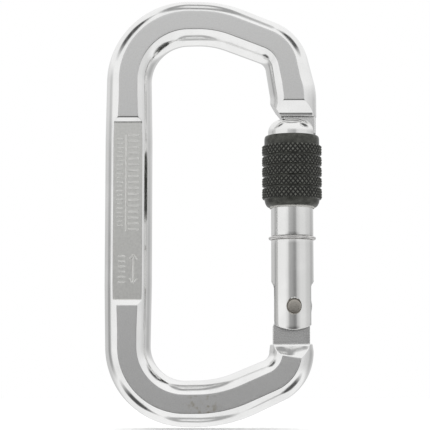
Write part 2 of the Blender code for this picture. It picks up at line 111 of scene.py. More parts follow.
# Tongues and milled shoulders.
TONGUE_HALF = 2.3 * MM
LAND_DEPTH = 3.3 * MM
NOSE_SLOPE = (-15.1 * MM, -18.1 * MM)
HINGE_SLOPE = (-79.9 * MM, -77.2 * MM)
NOSE_TIP_Z = -23.2 * MM
NOSE_ROOT_Z = -15.0 * MM
CHAMFER_TOP = (19.4 * MM, -15.3 * MM)
CHAMFER_RUN = 0.73
NOSE_TURNED_RADIUS = 6.2 * MM
HOOK_GAP = 0.2 * MM
TONGUE_BEVEL = 0.15 * MM
ROOT_INSET = 2.0 * MM
CUTTER_MARGIN = 4.0 * MM
HINGE_ROOT_Z = LEDGE_HINGE_Z - 4.0 * MM
HINGE_LEG_X = (19.75 * MM, 29.05 * MM)
EYE_FOOT_ANGLE = -29.0

# Gate, hinge and latch. SEAM is the fine gap that shows around the pins' ends.
GATE_X = 24.77 * MM
HINGE_X = 25.02 * MM
HINGE_Z = -67.3 * MM
PIN_X = 27.6 * MM
PIN_Z = -21.1 * MM
PIN_RADIUS = 0.9 * MM
PIN_REACH = 5.6 * MM
PIN_DOME = 0.05 * MM
PIN_CHAMFER = 0.12 * MM
SEAM = 0.04 * MM
RIVET_RADIUS = 1.8 * MM
RIVET_HALF = 5.15 * MM
RIVET_DOME = 0.06 * MM
RIVET_CHAMFER = 0.24 * MM
RIVET_FLARE = 0.3 * MM
RIVET_SURFACE = 5.25 * MM
EYE_RADIUS = 4.6 * MM
CAM_HEIGHT = 4.0 * MM
CAM_CORNER = 1.2 * MM
CAM_LEFT = -4.4 * MM
CAM_SIDE_Z = HINGE_Z - 3.0 * MM
CAM_FOOT_Z = HINGE_Z - 5.0 * MM
FIT = 0.15 * MM
GAP = 0.3 * MM

# Gate barrel.
GATE_TOP_Z = -19.5 * MM
DOME_RADIUS = 3.3 * MM
THREAD_RADIUS = 6.05 * MM
THREAD_ROOT = 5.5 * MM
THREAD_START_Z = -24.6 * MM
THREAD_END_Z = -35.5 * MM
THREAD_PITCH = 1.5 * MM
THREAD_RUN_OUT = 0.6 * MM
THREAD_FLANK = (0.22, 0.78)
THREAD_STEP = 0.12 * MM
BARREL_STEP = 0.9 * MM
BARREL_RADIUS = 5.38 * MM
GROOVE_Z = -49.95 * MM
GROOVE_HALF = 0.55 * MM
GROOVE_RADIUS = 4.95 * MM
SIDE_RAMP_Z = (-60.9 * MM, -62.3 * MM)
SIDE_FLAT_HALF = 4.6 * MM
FORK_END_Z = -73.3 * MM
FORK_END_ARC = 9.0 * MM
FORK_END_HEIGHT = 4.0 * MM
FORK_ROOF_Z = -61.7 * MM
NOSE_SLOT_WALL_X = 22.0 * MM
NOSE_SLOT_FLOOR_Z = -24.0 * MM
GATE_SEGMENTS = 144

# Spring and plunger.
PLUNGER_X = GATE_X - 1.0 * MM
BORE_RADIUS = 2.0 * MM
BORE_END_Z = -44.0 * MM
PLUNGER_RADIUS = 1.7 * MM
PLUNGER_CHAMFER = 0.4 * MM
STEM_RADIUS = 0.8 * MM
PLUNGER_FOOT_Z = HINGE_Z + CAM_HEIGHT + 0.25 * MM
PLUNGER_SHOULDER_Z = -58.5 * MM
STEM_TOP_Z = -54.0 * MM
SPRING_WIRE = 0.26 * MM
SPRING_RADIUS = 1.4 * MM
SPRING_TURNS = 9
SPRING_POINTS_PER_TURN = 28
# The closed turns at each end, as a share of the spring's turns and of its height.
SPRING_CLOSED_SHARE = 0.09
SPRING_CLOSED_RISE = 0.035

# Screw sleeve and its rings.
SLEEVE_TOP_Z = -23.75 * MM
SLEEVE_BOTTOM_Z = -41.9 * MM
SLEEVE_BORE = 6.42 * MM
COLLAR_RADIUS = 7.02 * MM
RIM_INSET = 0.32 * MM
RIM_DROP = 1.1 * MM
GRIP_RADIUS = 7.67 * MM
GRIP_TOP_Z = -26.35 * MM
GRIP_BOTTOM_Z = -39.88 * MM
GRIP_SLOPE = 0.2 * MM
RING_CUTS = 4
RING_CUT_TOP_Z = -28.92 * MM
RING_CUT_PITCH = 2.71 * MM
RING_CUT_HALF = 0.15 * MM
FOOT_ROUNDING = [(6.95 * MM, -40.55 * MM), (6.82 * MM, -41.05 * MM), (6.55 * MM, -41.55 * MM)]
FOOT_RADIUS = 6.2 * MM
GRIP_EDGE = 0.26 * MM
GRIP_FOOT_EDGE = 0.06 * MM
LIP_RADIUS = 5.95 * MM
LIP_TOP_Z = -41.3 * MM
KNURL_COUNT = 40
KNURL_PITCH = 1.36 * MM
KNURL_DEPTH = 0.3 * MM
KNURL_WIDTH = 0.46
KNURL_FADE_DEPTH = 0.3 * MM
KNURL_FADE = 0.25 * MM
# The sleeve's mask level on its plain parts, between the knurl's points (lighter, partly painted highlight)
# and its cuts (painted shade).
PLAIN_WEAR_AND_SHADE = 0.5
SLEEVE_SEGMENTS = 400
SLEEVE_STEP = 0.13 * MM
RING_BORE = 5.53 * MM
RING_RADIUS = 5.75 * MM
RING_FLANGE = 6.2 * MM
RING_TOP_Z = -40.6 * MM
RING_FLANGE_Z = -41.05 * MM
RING_BOTTOM_Z = -42.3 * MM
STOP_RING_RADIUS = 5.65 * MM
STOP_RING_WIRE = 0.38 * MM
STOP_RING_SPLIT = math.radians(16.0)

# How far a cutter reaches from the middle, and the angle from which an edge is shaded as sharp.
REACH = 9.0 * MM
SHARP_ANGLE = math.radians(35.0)

# Raised marks on the panels.
MARK_HEIGHT = 0.2 * MM
MARK_SUNK = 0.05 * MM
MARK_CHAMFER = 0.13 * MM

# A faint stain low on the front flat.
STAIN_CENTRE = (1.8 * MM, -FLAT_DEPTH, -93.0 * MM)
STAIN_REACH = 6.0 * MM
STAIN_COLOUR = (0.42, 0.37, 0.24, 1.0)

# Floor and overhead light.
FLOOR_Z = CAD_BOX[0].z - 0.5 * MM
FLOOR_RADIUS = 0.62
FLOOR_THICKNESS = 2.0 * MM
FLOOR_SIDES = 96
LIGHT_HEIGHT = 0.75
LIGHT_SIZE = 1.2
LIGHT_POWER = 7.0


# Meshes.


def add_object(name, vertices, faces, materials=()):
    mesh = bpy.data.meshes.new(name)
    mesh.from_pydata([tuple(v) for v in vertices], [], faces)
    bm = bmesh.new()
    bm.from_mesh(mesh)
    bmesh.ops.recalc_face_normals(bm, faces=bm.faces)
    bm.to_mesh(mesh)
    bm.free()
    made = bpy.data.objects.new(name, mesh)
    bpy.context.scene.collection.objects.link(made)
    for material in materials:
        mesh.materials.append(material)
    return made


def smooth(made, angle=SHARP_ANGLE):
    made.data.shade_smooth()
    made.data.set_sharp_from_angle(angle=angle)


def weigh_normals(made):
    """Shade corners by their larger faces, so that the thin fillets don't bend the flats' shading."""
    modifier = made.modifiers.new("weighted normals", "WEIGHTED_NORMAL")
    modifier.keep_sharp = True


def bake(made):
    """Apply an object's modifiers to its mesh."""
    bpy.context.view_layer.update()
    evaluated = made.evaluated_get(bpy.context.evaluated_depsgraph_get())
    mesh = bpy.data.meshes.new_from_object(evaluated)
    made.modifiers.clear()
    made.data = mesh


def boolean(target, others, operation="DIFFERENCE"):
    """Cut target with other objects, or join or intersect it with them, then remove them."""
    for other in others:
        modifier = target.modifiers.new(operation.lower(), "BOOLEAN")
        modifier.operation = operation
        modifier.solver = "EXACT"
        modifier.object = other
    bake(target)
    for other in others:
        bpy.data.objects.remove(other)


def bevel(made, width):
    modifier = made.modifiers.new("bevel", "BEVEL")
    modifier.width = width
    modifier.segments = 2
    modifier.limit_method = "ANGLE"
    modifier.angle_limit = math.radians(30.0)
    bake(made)


def arc(x, z, radius, start, end, steps):
    """Points on an arc from the angle start to end, in degrees."""
    angles = [math.radians(start + (end - start) * n / steps) for n in range(steps + 1)]
    return [(x + radius * math.cos(a), z + radius * math.sin(a)) for a in angles]


def rounded(corners, steps=4):
    """A path through corners (a, b, size), each rounded off over that distance on both sides of it."""
    path = []
    for number, (a, b, size) in enumerate(corners):
        if size == 0.0:
            path.append((a, b))
            continue
        corner = np.array((a, b))
        before = np.array(corners[number - 1][:2]) - corner
        after = np.array(corners[(number + 1) % len(corners)][:2]) - corner
        start = before * min(size / np.linalg.norm(before), 0.49)
        end = after * min(size / np.linalg.norm(after), 0.49)
        for step in range(steps + 1):
            t = step / steps
            path.append(tuple(corner + start * (1.0 - t) ** 2 + end * t ** 2))
    return path


def dense(path, step, closed=False):
    """The same path with points at most step apart."""
    points = [path[0]]
    for first, second in zip(path, path[1:] + path[:1] if closed else path[1:]):
        gap = math.dist(first, second)
        count = max(1, math.ceil(gap / step))
        for number in range(1, count + 1):
            t = number / count
            points.append(tuple(a + (b - a) * t for a, b in zip(first, second)))
    return points[:-1] if closed else points


def bands(pairs, count):
    """Quads between pairs of rows, each a closed row of count points, by the rows' numbers."""
    faces = []
    for first, second in pairs:
        for this in range(count):
            after = (this + 1) % count
            faces.append((first * count + this, first * count + after,
                          second * count + after, second * count + this))
    return faces


def loft_faces(rows, count):
    """Faces over rows of count points: a cap on each end, then the quads from the first row to the last."""
    caps = [tuple(range(count)), tuple(range((rows - 1) * count, rows * count))]
    return caps + bands([(row, row + 1) for row in range(rows - 1)], count)


def turned_grid(rows, segments):
    """The radius, angle and height of every point of a turned mesh, row by row."""
    angles = np.arange(segments) * 2.0 * math.pi / segments
    radius, angle = np.meshgrid(rows[:, 0], angles, indexing="ij")
    return radius, angle, np.repeat(rows[:, 1:2], segments, axis=1)


def lathe(name, profile, place, segments, materials=(), shape=None, ring=False, axis="Z"):
    """A turned mesh of (radius, height) rows about an axis through place. A ring's profile is closed."""
    rows = np.array(profile)
    radius, angle, height = turned_grid(rows, segments)
    if shape:
        radius, height = shape(radius, angle, height)
    grid = np.stack((radius * np.cos(angle), radius * np.sin(angle), height), axis=2)
    if axis == "Y":
        grid = grid[:, :, [0, 2, 1]]
    vertices = (grid + np.array(place)).reshape(-1, 3)
    pairs = [(row, row + 1) for row in range(len(rows) - 1)]
    if ring:
        pairs.append((len(rows) - 1, 0))
    made = add_object(name, vertices, bands(pairs, segments), materials)
    if not ring:
        bm = bmesh.new()
        bm.from_mesh(made.data)
        bmesh.ops.remove_doubles(bm, verts=bm.verts, dist=1e-7)
        bmesh.ops.recalc_face_normals(bm, faces=bm.faces)
        bm.to_mesh(made.data)
        bm.free()
    return made


def prism(name, outline, low, high, plane="XZ", materials=()):
    """A flat outline given thickness, from low to high along the plane's normal."""
    count = len(outline)
    if plane == "XZ":
        vertices = [(a, depth, b) for depth in (low, high) for a, b in outline]
    else:
        vertices = [(a, b, depth) for depth in (low, high) for a, b in outline]
    return add_object(name, vertices, loft_faces(2, count), materials)


def box(name, low, high):
    outline = [(low[0], low[2]), (high[0], low[2]), (high[0], high[2]), (low[0], high[2])]
    return prism(name, outline, low[1], high[1])


def sweep(name, points, radius, sides, materials=()):
    """A round wire along points, with each end rounded by two rings beyond it."""
    line = np.array(points)
    tangent = np.gradient(line, axis=0)
    tangent /= np.linalg.norm(tangent, axis=1)[:, None]
    beyond = (0.95, 0.7)
    shrunk = (0.3, 0.72)
    first_cap = [line[0] - tangent[0] * radius * share for share in beyond]
    last_cap = [line[-1] + tangent[-1] * radius * share for share in beyond]
    line = np.vstack((first_cap, line, last_cap[::-1]))
    tangent = np.vstack(([tangent[0]] * 2, tangent, [tangent[-1]] * 2))
    sizes = np.full(len(line), radius)
    sizes[[0, -1]] *= shrunk[0]
    sizes[[1, -2]] *= shrunk[1]
    side = np.cross(tangent[0], (0.0, 0.0, 1.0))
    rings = []
    for centre, along, size in zip(line, tangent, sizes):
        side = side - along * np.dot(side, along)
        side = side / np.linalg.norm(side)
        across = np.cross(along, side)
        angles = np.arange(sides) * 2.0 * math.pi / sides
        rings.append(centre + size * (np.outer(np.cos(angles), side) + np.outer(np.sin(angles), across)))
    return add_object(name, np.vstack(rings), loft_faces(len(rings), sides), materials)


# Materials.


def node(tree, kind, settings=None, **inputs):
    """A shader node, with its properties set, and its inputs set or linked by name."""
    made = tree.nodes.new("ShaderNode" + kind)
    for key, value in (settings or {}).items():
        setattr(made, key, value)
    for key, value in inputs.items():
        plug(tree, made.inputs[key.replace("_", " ")], value)
    return made


def plug(tree, socket, value):
    if isinstance(value, bpy.types.NodeSocket):
        tree.links.new(value, socket)
    else:
        socket.default_value = value


def maths(tree, operation, *values, clamp=False):
    made = node(tree, "Math", {"operation": operation, "use_clamp": clamp})
    for socket, value in zip(made.inputs, values):
        plug(tree, socket, value)
    return made.outputs[0]


def spread(tree, value, low, high, to_low, to_high):
    """A value mapped smoothly from one range to another, and held at the ends."""
    made = node(tree, "MapRange", {"interpolation_type": "SMOOTHSTEP"}, Value=value,
                From_Min=low, From_Max=high, To_Min=to_low, To_Max=to_high)
    return made.outputs[0]


def mix(tree, factor, first, second):
    made = node(tree, "Mix", {"data_type": "RGBA"})
    plug(tree, made.inputs[0], factor)
    plug(tree, made.inputs[6], first)
    plug(tree, made.inputs[7], second)
    return made.outputs[2]


def noise(tree, scale, detail=4.0, stretch=(1.0, 1.0, 1.0)):
    """Noise in the object's own space. The scale is in features a metre."""
    place = node(tree, "TexCoord").outputs["Object"]
    wide = node(tree, "VectorMath", {"operation": "MULTIPLY"})
    plug(tree, wide.inputs[0], place)
    plug(tree, wide.inputs[1], tuple(scale * s for s in stretch))
    return node(tree, "TexNoise", Vector=wide.outputs[0], Scale=1.0, Detail=detail).outputs[0]


def new_shader(name):
    material = bpy.data.materials.new(name)
    material.use_nodes = True
    return material, material.node_tree, material.node_tree.nodes["Principled BSDF"]


def tone(colour, share):
    return (*(channel * share for channel in colour), 1.0)


def bump(tree, principled, height, strength, distance):
    bumps = node(tree, "Bump", Strength=strength, Distance=distance, Height=height)
    plug(tree, principled.inputs["Normal"], bumps.outputs[0])


def metal(name, colour, roughness, varies, scratch, grain, stretch=(1.0, 1.0, 1.0), cloud=0.93):
    """Bare metal: cloudy tone, scratches that change its roughness, and a fine grain in its surface.

    roughness is (low, high), varies and scratch are features a metre, and grain is the bump's height.
    stretch is the scratches' share of their scale along each axis, and cloud is the darkest tone's share
    of the colour.
    """
    material, tree, principled = new_shader(name)
    principled.inputs["Metallic"].default_value = 1.0
    clouds = noise(tree, varies, 3.0)
    shade = mix(tree, spread(tree, clouds, 0.35, 0.65, 0.0, 1.0), tone(colour, cloud), tone(colour, 1.0))
    plug(tree, principled.inputs["Base Color"], shade)
    scratches = noise(tree, scratch, 5.0, stretch)
    rough = spread(tree, scratches, 0.35, 0.68, roughness[0], roughness[1])
    plug(tree, principled.inputs["Roughness"], rough)
    bump(tree, principled, scratches, 0.6, grain)
    return material


def stain(material, centre, reach, colour):
    """A faint patchy stain around a place on the object."""
    tree = material.node_tree
    socket = tree.nodes["Principled BSDF"].inputs["Base Color"]
    place = node(tree, "TexCoord").outputs["Object"]
    away = node(tree, "VectorMath", {"operation": "DISTANCE"})
    plug(tree, away.inputs[0], place)
    plug(tree, away.inputs[1], centre)
    near = spread(tree, away.outputs["Value"], 0.2 * reach, reach, 1.0, 0.0)
    patches = spread(tree, noise(tree, 700.0, 4.0), 0.45, 0.7, 0.0, 0.7)
    factor = maths(tree, "MULTIPLY", near, patches)
    clean = socket.links[0].from_socket
    plug(tree, socket, mix(tree, factor, clean, colour))


def sleeve_material():
    """Black anodising, lighter on the knurl's points and near-black in its cuts: partly rubbed anodising,
    partly a painted highlight on the points and painted shade in the cuts. A few points are rubbed to bare
    metal.
    """
    material, tree, principled = new_shader("black_anodising")
    wear_and_knurl_shade = node(tree, "Attribute", {"attribute_name": "wear_and_knurl_shade"}).outputs["Fac"]
    patches = spread(tree, noise(tree, 1300.0, 4.0), 0.50, 0.66, 0.0, 1.0)
    specks = maths(tree, "MULTIPLY", spread(tree, wear_and_knurl_shade, 0.7, 1.0, 0.0, 1.0), patches, clamp=True)
    mottle = spread(tree, noise(tree, 900.0, 4.0), 0.3, 0.7, 0.6, 1.25)
    # Painted highlight and shade: the base colour goes lighter with the mask on the knurl's points and
    # near-black in its cuts, partly as rubbed anodising.
    paler_wear_and_highlight = maths(tree, "MULTIPLY", spread(tree, wear_and_knurl_shade, 0.1, 0.9, 0.0, 1.0), mottle, clamp=True)
    black = mix(tree, paler_wear_and_highlight, (0.012, 0.012, 0.011, 1.0), (0.125, 0.128, 0.113, 1.0))
    plug(tree, principled.inputs["Base Color"], mix(tree, specks, black, (0.30, 0.30, 0.28, 1.0)))
    principled.inputs["Metallic"].default_value = 0.6
    fine = noise(tree, 6000.0, 3.0)
    plug(tree, principled.inputs["Roughness"], spread(tree, fine, 0.3, 0.7, 0.24, 0.38))
    bump(tree, principled, fine, 0.4, 0.006 * MM)
    return material


def acetal_material():
    """Pale plastic with a faint moulded texture."""
    material, tree, principled = new_shader("pale_acetal")
    clouds = noise(tree, 500.0, 3.0)
    plug(tree, principled.inputs["Base Color"],
         mix(tree, clouds, (0.44, 0.435, 0.41, 1.0), (0.58, 0.575, 0.545, 1.0)))
    fine = noise(tree, 5000.0, 3.0)
    plug(tree, principled.inputs["Roughness"], spread(tree, fine, 0.3, 0.7, 0.34, 0.48))
    bump(tree, principled, fine, 0.4, 0.01 * MM)
    return material


POLISHED = metal("polished_sides", (0.93, 0.93, 0.925), (0.07, 0.17), 90.0, 900.0, 0.002 * MM,
                 stretch=(1.0, 1.0, 0.35))
SATIN = metal("satin_flats", (0.85, 0.85, 0.845), (0.34, 0.42), 3600.0, 5200.0, 0.010 * MM, cloud=0.92)
PANEL = metal("panel_floor", (0.87, 0.87, 0.845), (0.34, 0.42), 1500.0, 4200.0, 0.010 * MM,
              stretch=(1.0, 1.0, 0.3))
MILLED = metal("milled_shoulders", (0.92, 0.92, 0.915), (0.22, 0.30), 200.0, 3200.0, 0.0012 * MM,
               stretch=(0.2, 1.0, 1.6))
TURNED = metal("turned_barrel", (0.91, 0.91, 0.90), (0.08, 0.17), 110.0, 2600.0, 0.004 * MM,
               stretch=(0.25, 0.25, 3.0))
RIVET = metal("rivet_steel", (0.58, 0.55, 0.50), (0.26, 0.42), 900.0, 5200.0, 0.010 * MM)
WIRE = metal("ring_steel", (0.66, 0.65, 0.64), (0.16, 0.28), 900.0, 4200.0, 0.004 * MM)
MARKS = metal("raised_marks", (0.90, 0.90, 0.88), (0.46, 0.56), 900.0, 4200.0, 0.003 * MM)
SPRING = metal("spring_steel", (0.58, 0.58, 0.59), (0.22, 0.34), 900.0, 4200.0, 0.004 * MM)
stain(SATIN, STAIN_CENTRE, STAIN_REACH, STAIN_COLOUR)
BLACK = sleeve_material()
ACETAL = acetal_material()
BAR_MATERIALS = [POLISHED, SATIN, PANEL, MILLED]
POLISHED_ZONE, SATIN_ZONE, PANEL_ZONE, MILLED_ZONE = range(4)


# The bar.


def bend_points(number):
    """Points of one corner of the centreline, bent to its radius."""
    x, z, bend, _ = CENTRELINE[number]
    corner = Vector((x, z))
    if bend == 0.0:
        return [corner]
    before = (Vector(CENTRELINE[number - 1][:2]) - corner).normalized()
    after = (Vector(CENTRELINE[number + 1][:2]) - corner).normalized()
    turn = math.pi - before.angle(after)
    centre = corner + (before + after).normalized() * bend / math.cos(turn / 2.0)
    start = corner + before * bend * math.tan(turn / 2.0) - centre
    side = math.copysign(1.0, before.x * after.y - before.y * after.x)
    steps = max(2, math.ceil(turn / BEND_STEP))
    return [centre + Matrix.Rotation(-side * turn * n / steps, 2) @ start for n in range(steps + 1)]


def depth_at(x, z):
    """How far from the mid-plane the bar's flats, panels and milled lands lie, with sharp kinks."""
    if x < 0.0:
        outside = max(z - PANEL_TOP_Z, PANEL_BOTTOM_Z - z, 0.0)
        return PANEL_DEPTH + (FLAT_DEPTH - PANEL_DEPTH) * min(outside / PANEL_RAMP, 1.0)
    flat_z, foot_z = NOSE_SLOPE if z > HINGE_Z else HINGE_SLOPE
    share = min(max((z - flat_z) / (foot_z - flat_z), 0.0), 1.0)
    return FLAT_DEPTH - (FLAT_DEPTH - LAND_DEPTH) * share


def stations():
    """Rows of (x, z, half width) along the bar, close together where its depth changes."""
    rough = []
    for number, corner in enumerate(CENTRELINE):
        rough += [(p.x, p.y, corner[3] / 2.0) for p in bend_points(number)]
    rows = [rough[0]]
    for first, second in zip(rough, rough[1:]):
        count = max(1, math.ceil(math.dist(first[:2], second[:2]) / STATION_STEP))
        for number in range(1, count + 1):
            rows.append(tuple(a + (b - a) * number / count for a, b in zip(first, second)))
    kinks = [PANEL_TOP_Z, PANEL_TOP_Z + PANEL_RAMP, PANEL_BOTTOM_Z, PANEL_BOTTOM_Z - PANEL_RAMP]
    levels = [(True, z) for z in kinks] + [(False, z) for z in (*NOSE_SLOPE, *HINGE_SLOPE)]
    for on_spine, kink in levels:
        for offset in (-2, -1, 0, 1, 2):
            level = kink + offset * KINK_ROUNDING
            for place, (first, second) in enumerate(zip(rows, rows[1:])):
                low, high = sorted((first[1], second[1]))
                if (first[0] < 0.0) == on_spine and low < level < high:
                    t = (level - first[1]) / (second[1] - first[1])
                    rows.insert(place + 1, tuple(a + (b - a) * t for a, b in zip(first, second)))
                    break
    return rows


def section(half_width, depth, inset):
    """The bar's section as (across, y) points: flats at the depth, round sides and filleted edges."""
    flat = max(math.sqrt(max(half_width ** 2 - FLAT_DEPTH ** 2, 0.0)), FLAT_HALF)
    centre = (half_width ** 2 - flat ** 2 - FLAT_DEPTH ** 2) / (2.0 * (half_width - flat))
    radius = half_width - centre - inset
    depth = depth - inset
    across = centre + math.sqrt((radius - EDGE_FILLET) ** 2 - (depth - EDGE_FILLET) ** 2)
    lean = math.degrees(math.atan2(depth - EDGE_FILLET, across - centre))
    middle = depth - EDGE_FILLET
    half = arc(across, -middle, EDGE_FILLET, -90.0, -lean, FILLET_CUTS)
    half += arc(centre, 0.0, radius, -lean, lean, SIDE_CUTS)[1:]
    half += arc(across, middle, EDGE_FILLET, lean, 90.0, FILLET_CUTS)[1:]
    half += [(across * (1.0 - 2.0 * n / FLAT_CUTS), depth) for n in range(1, FLAT_CUTS)]
    points = np.array(half)
    return np.vstack((points, -points))


def chamfer_x(z):
    """Where the nose's inner chamfer crosses the height z."""
    return CHAMFER_TOP[0] + CHAMFER_RUN * (CHAMFER_TOP[1] - z)


def bar_loft():
    """The bent bar, from the nose's ledge to the hinge's ledge, with its ends rounded off."""
    rows = stations()
    line = np.array([row[:2] for row in rows])
    tangent = np.gradient(line, axis=0)
    tangent /= np.linalg.norm(tangent, axis=1)[:, None]
    first_rows = [(line[0] + tangent[0] * back, tangent[0], rows[0][2], inset)
                  for back, inset in END_ROUNDING]
    last_rows = [(line[-1] - tangent[-1] * back, tangent[-1], rows[-1][2], inset)
                 for back, inset in reversed(END_ROUNDING)]
    middle_rows = [(line[n], tangent[n], rows[n][2], 0.0) for n in range(1, len(rows) - 1)]
    rings, depths = [], []
    for place, along, half_width, inset in first_rows + middle_rows + last_rows:
        window = (-KINK_ROUNDING, 0.0, 0.0, KINK_ROUNDING)
        depth = sum(depth_at(place[0], place[1] + offset) for offset in window) / len(window)
        points = section(half_width, depth, inset)
        across = np.array((-along[1], along[0]))
        ring = np.zeros((len(points), 3))
        ring[:, 0] = place[0] + points[:, 0] * across[0]
        ring[:, 1] = points[:, 1]
        ring[:, 2] = place[1] + points[:, 0] * across[1]
        rings.append(ring)
        depths.append(depth)
    count = len(rings[0])
    sides = SIDE_CUTS + 2 * FILLET_CUTS
    on_flat = [this % (count // 2) >= sides for this in range(count)]
    zones = [MILLED_ZONE, MILLED_ZONE]
    for row in range(len(rings) - 1):
        depth = (depths[row] + depths[row + 1]) / 2.0
        if depth > FLAT_DEPTH - 0.01 * MM:
            zone = SATIN_ZONE
        elif depth < PANEL_DEPTH + 0.02 * MM and rings[row][0][0] < 0.0:
            zone = PANEL_ZONE
        else:
            zone = POLISHED_ZONE
        zones += [zone if flat else POLISHED_ZONE for flat in on_flat]
    bar = add_object("frame_bar", np.vstack(rings), loft_faces(len(rings), count), BAR_MATERIALS)
    bar.data.polygons.foreach_set("material_index", zones)
    return bar


def in_zone(made, zone):
    """Give a cutter or a tongue the bar's materials, with one of them on all its faces."""
    for material in BAR_MATERIALS:
        made.data.materials.append(material)
    made.data.polygons.foreach_set("material_index", [zone] * len(made.data.polygons))
    return made


def nose_tongue():
    """The nose's tongue, with the hook's notch for the latch pin open on the inner side."""
    notch = PIN_RADIUS + HOOK_GAP
    outer = GATE_X + NOSE_TURNED_RADIUS + GAP
    mouth_top = PIN_Z + notch
    mouth_bottom = PIN_Z - notch
    outline = [
        (outer - ROOT_INSET, NOSE_ROOT_Z),
        (CHAMFER_TOP[0] + 1.5 * ROOT_INSET, NOSE_ROOT_Z),
        (chamfer_x(mouth_top), mouth_top),
        *arc(PIN_X, PIN_Z, notch, 90.0, -90.0, 20),
        (chamfer_x(mouth_bottom), mouth_bottom),
        (chamfer_x(NOSE_TIP_Z), NOSE_TIP_Z),
        (outer, NOSE_TIP_Z),
        (outer, LEDGE_NOSE_Z),
        (outer - ROOT_INSET, LEDGE_NOSE_Z),
    ]
    tongue = prism("nose_tongue", outline, -TONGUE_HALF, TONGUE_HALF)
    top = LEDGE_NOSE_Z + 0.5 * MM
    bottom = NOSE_TIP_Z - MM
    far = NOSE_TURNED_RADIUS + CUTTER_MARGIN
    wall = [(far, top), (far, bottom), (NOSE_TURNED_RADIUS, bottom), (NOSE_TURNED_RADIUS, top)]
    boolean(tongue, [lathe("turning", wall, (GATE_X, 0.0, 0.0), 128, ring=True)])
    bevel(tongue, TONGUE_BEVEL)
    return in_zone(tongue, MILLED_ZONE)


def hinge_tongue():
    """The hinge's tongue: a round outer side about the rivet, and a flat cam on top."""
    left = HINGE_X + CAM_LEFT
    top = HINGE_Z + CAM_HEIGHT
    leg_left, leg_right = HINGE_LEG_X
    eye_top = math.degrees(math.asin(CAM_HEIGHT / EYE_RADIUS))
    outline = [
        (leg_right, HINGE_ROOT_Z),
        *arc(HINGE_X, HINGE_Z, EYE_RADIUS, EYE_FOOT_ANGLE, eye_top, 36),
        *arc(left + CAM_CORNER, top - CAM_CORNER, CAM_CORNER, 90.0, 180.0, 10),
        (left, CAM_SIDE_Z),
        (leg_left, CAM_FOOT_Z),
        (leg_left, HINGE_ROOT_Z),
    ]
    tongue = prism("hinge_tongue", outline, -TONGUE_HALF, TONGUE_HALF)
    bevel(tongue, TONGUE_BEVEL)
    return in_zone(tongue, MILLED_ZONE)


def make_bar():
    """The frame: the bent bar, cut to the nose's chamfer, with both tongues and the rivet's hole."""
    bar = bar_loft()
    below = NOSE_TIP_Z - MM
    inner = CHAMFER_TOP[0] - CUTTER_MARGIN
    chamfer = [
        CHAMFER_TOP,
        (chamfer_x(below), below),
        (inner, below),
        (inner, CHAMFER_TOP[1] + CUTTER_MARGIN / CHAMFER_RUN),
    ]
    cutter = in_zone(prism("nose_chamfer", chamfer, -REACH, REACH), MILLED_ZONE)
    boolean(bar, [cutter])
    boolean(bar, [nose_tongue(), hinge_tongue()], "UNION")
    hinge_hole = hole("hinge_hole", RIVET_RADIUS + FIT, 0.0, REACH - MM, HINGE_X, HINGE_Z)
    boolean(bar, [in_zone(hinge_hole, MILLED_ZONE)])
    smooth(bar)
    weigh_normals(bar)
    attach(bar, "frame")
    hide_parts("frame_body")


# Raised marks on the panels.


def mark_strokes():
    """The marks' strokes as (across, z, length, width, angle), in mm and degrees: all plain bars."""
    rungs = [(1.45, -24.0 - 1.5 * n, 2.8, 0.56, 0.0) for n in range(17)]
    dashes = [(-2.0, -25.0 - 1.1 * n, (1.7, 1.3)[n % 2], 0.4, 0.0) for n in range(21)]
    long_bar = [(-0.45, -36.2, 24.6, 0.36, 90.0)]
    arrow = [(1.5, -58.0, 7.2, 0.44, 90.0)]
    for z, turn in ((-55.0, 48.0), (-61.0, -48.0)):
        arrow += [(1.5 + side * 0.5, z, 1.6, 0.44, -side * turn) for side in (-1.0, 1.0)]
    short_bars = [(-1.4, -54.8 - 1.3 * n, 1.9, 0.5, 0.0) for n in range(6)]
    return rungs + dashes + long_bar + arrow + short_bars


def add_stroke(bm, stroke, side):
    """One rounded bar that stands on a panel's floor, with a chamfered top."""
    across, z, length, width = (size * MM for size in stroke[:4])
    turn = Matrix.Rotation(math.radians(stroke[4]), 2)
    reach = (length - width) / 2.0
    heights = ((-MARK_SUNK, 0.0), (MARK_HEIGHT - MARK_CHAMFER, 0.0), (MARK_HEIGHT, MARK_CHAMFER))
    levels = []
    for depth, inset in heights:
        radius = width / 2.0 - inset
        outline = arc(reach, 0.0, radius, -90.0, 90.0, 8) + arc(-reach, 0.0, radius, 90.0, 270.0, 8)
        places = [turn @ Vector(p) for p in outline]
        y = side * (PANEL_DEPTH + depth)
        levels.append([bm.verts.new((SPINE_X - side * (across + p.x), y, z + p.y)) for p in places])
    count = len(levels[0])
    bm.faces.new(levels[0])
    bm.faces.new(levels[2])
    for low, high in zip(levels, levels[1:]):
        for this in range(count):
            after = (this + 1) % count
            bm.faces.new((low[this], low[after], high[after], high[this]))


def make_marks():
    for side, word in ((-1.0, "front"), (1.0, "back")):
        bm = bmesh.new()
        for stroke in mark_strokes():
            add_stroke(bm, stroke, side)
        bmesh.ops.recalc_face_normals(bm, faces=bm.faces)
        name = f"panel_marks_{word}"
        mesh = bpy.data.meshes.new(name)
        bm.to_mesh(mesh)
        bm.free()
        mesh.materials.append(MARKS)
        marks = bpy.data.objects.new(name, mesh)
        bpy.context.scene.collection.objects.link(marks)
        smooth(marks)
        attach(marks, "frame")


# Turned pieces.


def dome_profile(inset):
    """The domed top of the barrel's profile, inset a little, and closed at the thread's end."""
    dome_x = THREAD_RADIUS - DOME_RADIUS
    dome = arc(dome_x, GATE_TOP_Z - DOME_RADIUS, DOME_RADIUS - inset, 90.0, 0.0, 32)
    radius = THREAD_RADIUS - inset
    return [(0.0, GATE_TOP_Z - inset), *dome, (radius, THREAD_END_Z), (0.0, THREAD_END_Z)]


